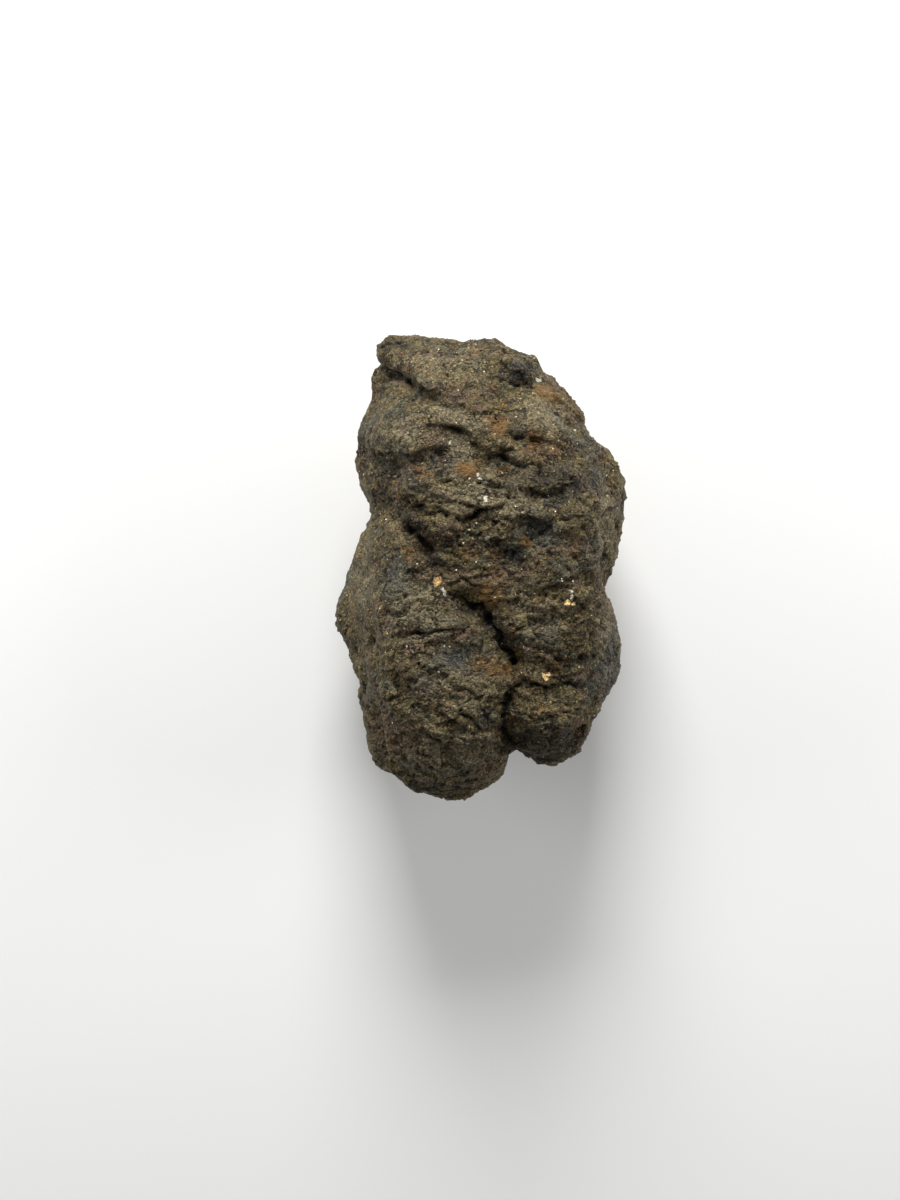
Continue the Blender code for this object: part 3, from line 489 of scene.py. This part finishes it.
def shape_stone(piece):
    mesh = piece.data
    write_points(mesh, soften(edge_ends(mesh), read_points(mesh), FACET_ROUNDS))
    refine_lobed_face(piece)
    ends = edge_ends(mesh)
    solid = soften(ends, read_points(mesh), FINE_ROUNDS)
    broad = read_normals(mesh, soften(ends, solid, BROAD_ROUNDS))
    calm = np.clip(solid[:, 2] / REST_CALM, 0, 1)
    height, fades, wanders = broken_surface(solid)
    smooth = np.max([ellipse_share(solid, *place) for place in SMOOTH_PLACES], axis=0)
    steep = np.clip((FINE_FACING - broad[:, 2]) / FINE_FACING, 0, 1)
    height *= (1 - SMOOTHNESS * smooth) * (1 - STEEP_CALM * steep)
    cracked = np.zeros(len(solid))
    for path, half_width, depth in CRACKS:
        apart = distance_to_path(solid + wanders, lift(solid, path))
        share = fades * np.exp(-((apart / half_width) ** 2))
        height -= depth * share
        cracked = np.maximum(cracked, share * min(1.0, depth))
    for path, step, reach in LIPS:
        right, past = beside_path(solid + wanders, lift(solid, path))
        fade = np.exp(-((right / reach) ** 2) - (past / (LIP_END_SHARE * reach)) ** 2)
        height += step * fades * fade * np.tanh(right / LIP_SOFTNESS) / 2
    for place, radius, depth in PITS:
        height -= depth * ellipse_share(solid, place, (radius, radius), 0)
    points = solid + broad * (height * calm)[:, None]
    points[:, 2] = np.maximum(points[:, 2], 0)
    write_points(mesh, points)
    return points, ends, cracked


def add_values(mesh, name, values):
    mesh.attributes.new(name, "FLOAT", "POINT").data.foreach_set("value", values.astype(np.float32))


def mark_surface(piece, points, ends, cracked):
    """What the material reads at each point: hollows of two widths, for dirt and painted shade, and the
    stains and places of painted shade and light.
    """
    mesh = piece.data
    normals = read_normals(mesh, points)
    fine = soften(ends, points, CREVICE_ROUNDS)
    wide = soften(ends, fine, HOLLOW_ROUNDS)
    crevice = np.einsum("ij,ij->i", fine - points, normals) / CREVICE_DEPTH
    # Painted shade along the cracks is added to the crevice mark, and the material darkens it with the
    # creases
    add_values(mesh, "crevice", crevice + CRACK_DARKNESS * cracked)
    add_values(mesh, "hollow", np.einsum("ij,ij->i", wide - fine, normals) / HOLLOW_DEPTH)
    for kind in ("rust", "blue", "dark", "pale"):
        strength = np.zeros(len(points))
        for listed_kind, place, half_widths, turn_deg, amount in STAINS_AND_PAINTED_SHADE_AND_LIGHT:
            if listed_kind == kind:
                strength = np.maximum(strength, amount * ellipse_share(points, place, half_widths, turn_deg))
        add_values(mesh, kind, strength)


stone = copy_of_stone()
surface, surface_ends, cracked_share = shape_stone(stone)
mark_surface(stone, surface, surface_ends, cracked_share)
for polygon in stone.data.polygons:
    polygon.use_smooth = True
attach(stone, "root")
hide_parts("stone")


def add_node(tree, kind, inputs=None, **settings):
    """A shader node with its settings, and its inputs set or linked."""
    node = tree.nodes.new(kind)
    for name, value in settings.items():
        setattr(node, name, value)
    for name, value in (inputs or {}).items():
        if isinstance(value, bpy.types.NodeSocket):
            tree.links.new(value, node.inputs[name])
        else:
            node.inputs[name].default_value = value
    return node


# The sockets of a mixing node that mixes colours: its share, its two colours and its result
SHARE, UNDER, OVER, MIXED = 0, 6, 7, 2

# Mottling, over a brown ground: how coarse in mm, drawn out along the strata or not, from which
# noise value to which the colour comes in, how much of it, and the colour
MOTTLES = [
    (8.0, False, 0.42, 0.60, 0.80, "#493e22"),
    (2.2, True, 0.50, 0.62, 0.80, "#776a44"),
    (5.2, True, 0.52, 0.62, 0.75, "#3d4743"),
    (3.6, True, 0.54, 0.62, 0.75, "#644b3f"),
    (4.1, False, 0.56, 0.64, 0.65, "#70491a"),
    (3.0, True, 0.57, 0.63, 0.75, "#212a24"),
    (1.4, False, 0.53, 0.61, 0.85, "#1a160c"),
]

# Grains of this size in mm, each of one mineral: from which share of them on, and the colour. They
# tint the mottled stone this much, and each grain is darker or lighter than it
MINERAL_SIZE = 0.28
MINERALS = [
    (0.00, "#1c170e"),
    (0.16, "#3e341f"),
    (0.40, "#5c4f30"),
    (0.62, "#6e6140"),
    (0.76, "#565047"),
    (0.84, "#434a47"),
    (0.91, "#6b4a22"),
    (0.96, "#a8996c"),
]
MINERAL_SHARE = 0.32
MINERAL_LIGHTNESS = (0.36, 1.80)

# The outline of each bright grain and painted glint is ragged by this many mm, with this many waves
# to a mm, and each reaches this deep
BRIGHT_RAGGEDNESS, BRIGHT_WAVES = 0.5, 2.2
BRIGHT_DEPTH = 3.0

# Metal flecks: the size of the cells that hold one at most, the flecks' least and greatest radius,
# all in mm, and the share of cells with a fleck in the poorest and in the richest places
FLECK_SPACING = 1.0
FLECK_RADIUS = (0.06, 0.17)
FLECKED_SHARE = (0.09, 0.50)

# Hairline cracks wander along the strata, broken into stretches: their spacing and the length of
# the stretches in mm, and how far the noise may be off its middle value in one
HAIRLINE_SPACING, HAIRLINE_STRETCH = 5.5, 4.0
HAIRLINE_HALF_WIDTH = 0.018

# The mottling is bent by this much, over this size, and drawn out along the strata. The ragged
# edges of stains, the clusters of flecks and the finest relief have these sizes, all in mm
WAVER_SIZE, WAVER = 6.0, 5.0
MOTTLE_STRETCH = 2.4
RAGGED_SIZE = 1.6
CLUSTER_SIZE = 3.2
RELIEF_SIZE = 0.9
RELIEF_DEPTH = 0.42

# Roughness of the stone and of its metal, and how metallic a fleck looks under its dirt
STONE_ROUGHNESS, METAL_ROUGHNESS = 0.62, 0.32
FLECK_METAL = 0.7


# Weathered ordinary chondrite, broken by nature and never cut: a dull, dark, crumbly stone of fused
# grains a quarter of a millimetre across. The eye reads olive, brown and blue-grey grains, brown
# iron stains, thin black cracks along the strata, and a scatter of metal flecks that flash.
def weathered_chondrite():
    material = bpy.data.materials.new("weathered_chondrite")
    material.use_nodes = True
    tree = material.node_tree
    shader = tree.nodes["Principled BSDF"]

    place = add_node(tree, "ShaderNodeTexCoord").outputs["Object"]
    in_mm = add_node(tree, "ShaderNodeMapping", {
        "Vector": place, "Scale": (1 / MM, 1 / MM, 1 / MM)}).outputs[0]
    waver = add_node(tree, "ShaderNodeTexNoise", {
        "Vector": in_mm, "Scale": 1 / WAVER_SIZE, "Detail": 3.0})
    wavy = add_node(tree, "ShaderNodeVectorMath", {
        0: waver.outputs["Color"], 1: (WAVER, WAVER, WAVER), 2: in_mm}, operation="MULTIPLY_ADD").outputs[0]
    laid = add_node(tree, "ShaderNodeMapping", {
        "Vector": wavy, "Rotation": (0, 0, math.radians(-STRATA_TURN_DEG)),
        "Scale": (1 / MOTTLE_STRETCH, 1.0, 1.0)}).outputs[0]
    marks = {name: add_node(tree, "ShaderNodeAttribute", attribute_name=name).outputs["Fac"]
             for name in ("crevice", "hollow", "rust", "blue", "dark", "pale")}

    # Mottled stone
    colour = srgb("#5a4d2d")
    for size, drawn_out, low, high, amount, hex_colour in MOTTLES:
        cloud = add_node(tree, "ShaderNodeTexNoise", {
            "Vector": laid if drawn_out else in_mm, "Scale": 1 / size, "Detail": 5.0, "Roughness": 0.6})
        patch = add_node(tree, "ShaderNodeMapRange", {
            "Value": cloud.outputs[0], "From Min": low, "From Max": high, "To Max": amount})
        colour = add_node(tree, "ShaderNodeMix", {
            SHARE: patch.outputs[0], UNDER: colour, OVER: srgb(hex_colour)}, data_type="RGBA").outputs[MIXED]
    # Blue-grey stone, pale places that are partly painted light, and dark places that are mostly painted
    # shade
    for name, hex_colour in (("blue", "#353c3f"), ("pale", "#857a5f"), ("dark", "#221d15")):
        ragged = add_node(tree, "ShaderNodeTexNoise", {
            "Vector": laid, "Scale": 1 / RAGGED_SIZE, "Detail": 5.0})
        edge = add_node(tree, "ShaderNodeMath", {0: ragged.outputs[0], 1: marks[name]}, operation="ADD")
        patch = add_node(tree, "ShaderNodeMapRange", {
            "Value": edge.outputs[0], "From Min": 0.55, "From Max": 1.15, "To Max": 0.85})
        colour = add_node(tree, "ShaderNodeMix", {
            SHARE: patch.outputs[0], UNDER: colour, OVER: srgb(hex_colour)}, data_type="RGBA").outputs[MIXED]

    # Grains, each of one mineral
    grains = add_node(tree, "ShaderNodeTexVoronoi", {"Vector": in_mm, "Scale": 1 / MINERAL_SIZE})
    tone = add_node(tree, "ShaderNodeSeparateColor", {"Color": grains.outputs["Color"]})
    mineral = add_node(tree, "ShaderNodeValToRGB", {"Fac": tone.outputs[0]})
    stops = mineral.color_ramp
    stops.interpolation = "CONSTANT"
    while len(stops.elements) < len(MINERALS):
        stops.elements.new(0.5)
    for stop, (start, hex_colour) in zip(stops.elements, MINERALS):
        stop.position = start
        stop.color = srgb(hex_colour)
    colour = add_node(tree, "ShaderNodeMix", {
        SHARE: MINERAL_SHARE, UNDER: colour, OVER: mineral.outputs["Color"]},
        data_type="RGBA").outputs[MIXED]
    lightness = add_node(tree, "ShaderNodeMapRange", {
        "Value": tone.outputs[2], "To Min": MINERAL_LIGHTNESS[0], "To Max": MINERAL_LIGHTNESS[1]})
    colour = add_node(tree, "ShaderNodeVectorMath", {
        0: colour, "Scale": lightness.outputs[0]}, operation="SCALE").outputs[0]

    # Rust, in its own grains and with ragged edges
    ragged = add_node(tree, "ShaderNodeTexNoise", {
        "Vector": laid, "Scale": 1 / RAGGED_SIZE, "Detail": 6.0, "Roughness": 0.75})
    edge = add_node(tree, "ShaderNodeMath", {0: ragged.outputs[0], 1: marks["rust"]}, operation="ADD")
    patch = add_node(tree, "ShaderNodeMapRange", {
        "Value": edge.outputs[0], "From Min": 0.62, "From Max": 1.30, "To Max": 0.75})
    rust = add_node(tree, "ShaderNodeMix", {
        SHARE: tone.outputs[1], UNDER: srgb("#5a4120"), OVER: srgb("#966a32")},
        data_type="RGBA").outputs[MIXED]
    colour = add_node(tree, "ShaderNodeMix", {
        SHARE: patch.outputs[0], UNDER: colour, OVER: rust}, data_type="RGBA").outputs[MIXED]

    # Dark dirt and painted shade in creases and hollows, and rubbed edges
    crease = add_node(tree, "ShaderNodeMapRange", {
        "Value": marks["crevice"], "From Min": 0.1, "From Max": 1.4, "To Max": 0.75}).outputs[0]
    hollow = add_node(tree, "ShaderNodeMapRange", {
        "Value": marks["hollow"], "From Min": 0.15, "From Max": 1.1, "To Max": 0.45}).outputs[0]
    dirt_and_painted_shade = add_node(tree, "ShaderNodeMath", {0: crease, 1: hollow}, operation="ADD", use_clamp=True)
    colour = add_node(tree, "ShaderNodeMix", {
        SHARE: dirt_and_painted_shade.outputs[0], UNDER: colour, OVER: srgb("#14110c")}, data_type="RGBA").outputs[MIXED]
    rubbed = add_node(tree, "ShaderNodeMapRange", {
        "Value": marks["crevice"], "From Min": -0.3, "From Max": -1.5, "To Max": 0.4}).outputs[0]
    colour = add_node(tree, "ShaderNodeMix", {
        SHARE: rubbed, UNDER: colour, OVER: srgb("#94866a")}, data_type="RGBA").outputs[MIXED]

    # Hairline cracks: where a drawn-out noise passes its middle value, in some places only
    wander = add_node(tree, "ShaderNodeTexNoise", {
        "Vector": laid, "Scale": 1 / HAIRLINE_SPACING, "Detail": 5.0, "Roughness": 0.62})
    off_middle = add_node(tree, "ShaderNodeMath", {0: wander.outputs[0], 1: 0.5}, operation="SUBTRACT")
    away = add_node(tree, "ShaderNodeMath", {0: off_middle.outputs[0]}, operation="ABSOLUTE")
    where = add_node(tree, "ShaderNodeTexNoise", {
        "Vector": in_mm, "Scale": 1 / HAIRLINE_STRETCH, "Detail": 2.0})
    width = add_node(tree, "ShaderNodeMapRange", {
        "Value": where.outputs[0], "From Min": 0.44, "From Max": 0.60, "To Min": 0.0005,
        "To Max": HAIRLINE_HALF_WIDTH})
    crack = add_node(tree, "ShaderNodeMapRange", {
        "Value": away.outputs[0], "From Min": width.outputs[0], "From Max": 0.0, "To Max": 1.0}).outputs[0]
    colour = add_node(tree, "ShaderNodeMix", {
        SHARE: crack, UNDER: colour, OVER: srgb("#0d0b08")}, data_type="RGBA").outputs[MIXED]

    # Metal flecks, in clusters
    flecks = add_node(tree, "ShaderNodeTexVoronoi", {"Vector": in_mm, "Scale": 1 / FLECK_SPACING})
    fleck_tone = add_node(tree, "ShaderNodeSeparateColor", {"Color": flecks.outputs["Color"]})
    cluster = add_node(tree, "ShaderNodeTexNoise", {
        "Vector": in_mm, "Scale": 1 / CLUSTER_SIZE, "Detail": 2.0})
    rich = add_node(tree, "ShaderNodeMapRange", {
        "Value": cluster.outputs[0], "From Min": 0.40, "From Max": 0.70,
        "To Min": FLECKED_SHARE[0], "To Max": FLECKED_SHARE[1]})
    chosen = add_node(tree, "ShaderNodeMath", {
        0: fleck_tone.outputs[0], 1: rich.outputs[0]}, operation="LESS_THAN")
    radius = add_node(tree, "ShaderNodeMapRange", {
        "Value": fleck_tone.outputs[1], "To Min": FLECK_RADIUS[0], "To Max": FLECK_RADIUS[1]})
    inside = add_node(tree, "ShaderNodeMath", {
        0: flecks.outputs["Distance"], 1: radius.outputs[0]}, operation="LESS_THAN")
    fleck = add_node(tree, "ShaderNodeMath", {
        0: chosen.outputs[0], 1: inside.outputs[0]}, operation="MULTIPLY").outputs[0]
    fleck_colour = add_node(tree, "ShaderNodeMix", {
        SHARE: fleck_tone.outputs[2], UNDER: srgb("#f3efe2"), OVER: srgb("#f0cf8a")},
        data_type="RGBA").outputs[MIXED]
    colour = add_node(tree, "ShaderNodeMix", {
        SHARE: fleck, UNDER: colour, OVER: fleck_colour}, data_type="RGBA").outputs[MIXED]

    # Bright gold grains and white painted glints at their read places, with ragged edges
    wobble = add_node(tree, "ShaderNodeTexNoise", {
        "Vector": in_mm, "Scale": BRIGHT_WAVES, "Detail": 2.0})
    shaken = add_node(tree, "ShaderNodeVectorMath", {
        0: wobble.outputs["Color"], 1: (2 * BRIGHT_RAGGEDNESS, 2 * BRIGHT_RAGGEDNESS, 0.0), 2: in_mm},
        operation="MULTIPLY_ADD").outputs[0]
    gold = fleck
    for kind, read, half_widths, turn_deg in BRIGHT_GRAINS_AND_PAINTED_GLINTS:
        centre = lift(surface, [read])[0]
        moved = add_node(tree, "ShaderNodeMapping", {
            "Vector": shaken,
            "Location": (centre[0] + BRIGHT_RAGGEDNESS, centre[1] + BRIGHT_RAGGEDNESS, centre[2]),
            "Rotation": (0, 0, math.radians(turn_deg)),
            "Scale": (half_widths[0], half_widths[1], BRIGHT_DEPTH)}, vector_type="TEXTURE")
        away = add_node(tree, "ShaderNodeVectorMath", {0: moved.outputs[0]}, operation="LENGTH")
        mark = add_node(tree, "ShaderNodeMapRange", {
            "Value": away.outputs["Value"], "From Min": 1.15, "From Max": 0.85}).outputs[0]
        colour = add_node(tree, "ShaderNodeMix", {
            SHARE: mark, UNDER: colour, OVER: srgb(BRIGHT_COLOURS[kind])}, data_type="RGBA").outputs[MIXED]
        if kind == "gold":
            gold = add_node(tree, "ShaderNodeMath", {0: gold, 1: mark}, operation="MAXIMUM").outputs[0]
    tree.links.new(colour, shader.inputs["Base Color"])

    # Metal is only in the flecks and the gold grains, and shinier than the stone
    metal = add_node(tree, "ShaderNodeMath", {0: gold, 1: FLECK_METAL}, operation="MULTIPLY").outputs[0]
    tree.links.new(metal, shader.inputs["Metallic"])
    polish = add_node(tree, "ShaderNodeMapRange", {
        "Value": gold, "To Min": STONE_ROUGHNESS, "To Max": METAL_ROUGHNESS})
    tree.links.new(polish.outputs[0], shader.inputs["Roughness"])
    shader.inputs["Specular IOR Level"].default_value = 0.28

    # Relief finer than the mesh holds: each grain stands out a little, and cracks are sunk
    relief = add_node(tree, "ShaderNodeTexNoise", {
        "Vector": laid, "Scale": 1 / RELIEF_SIZE, "Detail": 5.0, "Roughness": 0.7}).outputs[0]
    for value, amount in ((grains.outputs["Distance"], -0.45), (tone.outputs[1], 0.40), (crack, -0.9)):
        relief = add_node(tree, "ShaderNodeMath", {
            0: value, 1: amount, 2: relief}, operation="MULTIPLY_ADD").outputs[0]
    bump = add_node(tree, "ShaderNodeBump", {
        "Height": relief, "Strength": 1.0, "Distance": RELIEF_DEPTH * MM})
    tree.links.new(bump.outputs[0], shader.inputs["Normal"])
    return material


stone.data.materials.append(weathered_chondrite())


# Floor: plain pale card, matt
def pale_card():
    material = bpy.data.materials.new("pale_card")
    material.use_nodes = True
    shader = material.node_tree.nodes["Principled BSDF"]
    shader.inputs["Base Color"].default_value = srgb("#f4f4f2")
    shader.inputs["Roughness"].default_value = 0.9
    return material


bpy.ops.object.select_all(action="DESELECT")
bpy.ops.mesh.primitive_plane_add(size=4.0, location=(0, 0, 0))
floor = bpy.context.object
floor.name = "floor"
floor.data.materials.append(pale_card())


def soft_light(name, place, size, power):
    """A square soft box at that place, turned to the stone."""
    lamp = bpy.data.lights.new(name, "AREA")
    lamp.size = size * MM
    lamp.energy = power
    box = bpy.data.objects.new(name, lamp)
    scene.collection.objects.link(box)
    box.location = Vector(place) * MM
    aim = Vector((0, 0, MIDDLE_DEPTH)) - Vector(place)
    box.rotation_euler = aim.to_track_quat("-Z", "Y").to_euler()


# The photograph's light: a soft one from above the slab, and a paler one on each side
soft_light("key_from_above", (-30, 400, 250), 220, 3.0)
soft_light("fill_from_left", (-400, 60, 160), 260, 0.8)
soft_light("fill_from_right", (400, 60, 160), 260, 0.95)

world = bpy.data.worlds.new("studio")
scene.world = world
world.use_nodes = True
world.node_tree.nodes["Background"].inputs["Color"].default_value = srgb("#ffffff")
world.node_tree.nodes["Background"].inputs["Strength"].default_value = 0.2

camera_data = bpy.data.cameras.new("camera")
camera_data.sensor_width = SENSOR_WIDTH
camera_data.lens = SENSOR_WIDTH * CAMERA_DISTANCE / (PHOTO_HEIGHT * PIXEL)
camera_data.clip_start = 0.01
camera = bpy.data.objects.new("camera", camera_data)
scene.collection.objects.link(camera)
camera.location = Vector((*VIEW_AXIS, MIDDLE_DEPTH + CAMERA_DISTANCE)) * MM
scene.camera = camera
scene.view_settings.view_transform = "Standard"
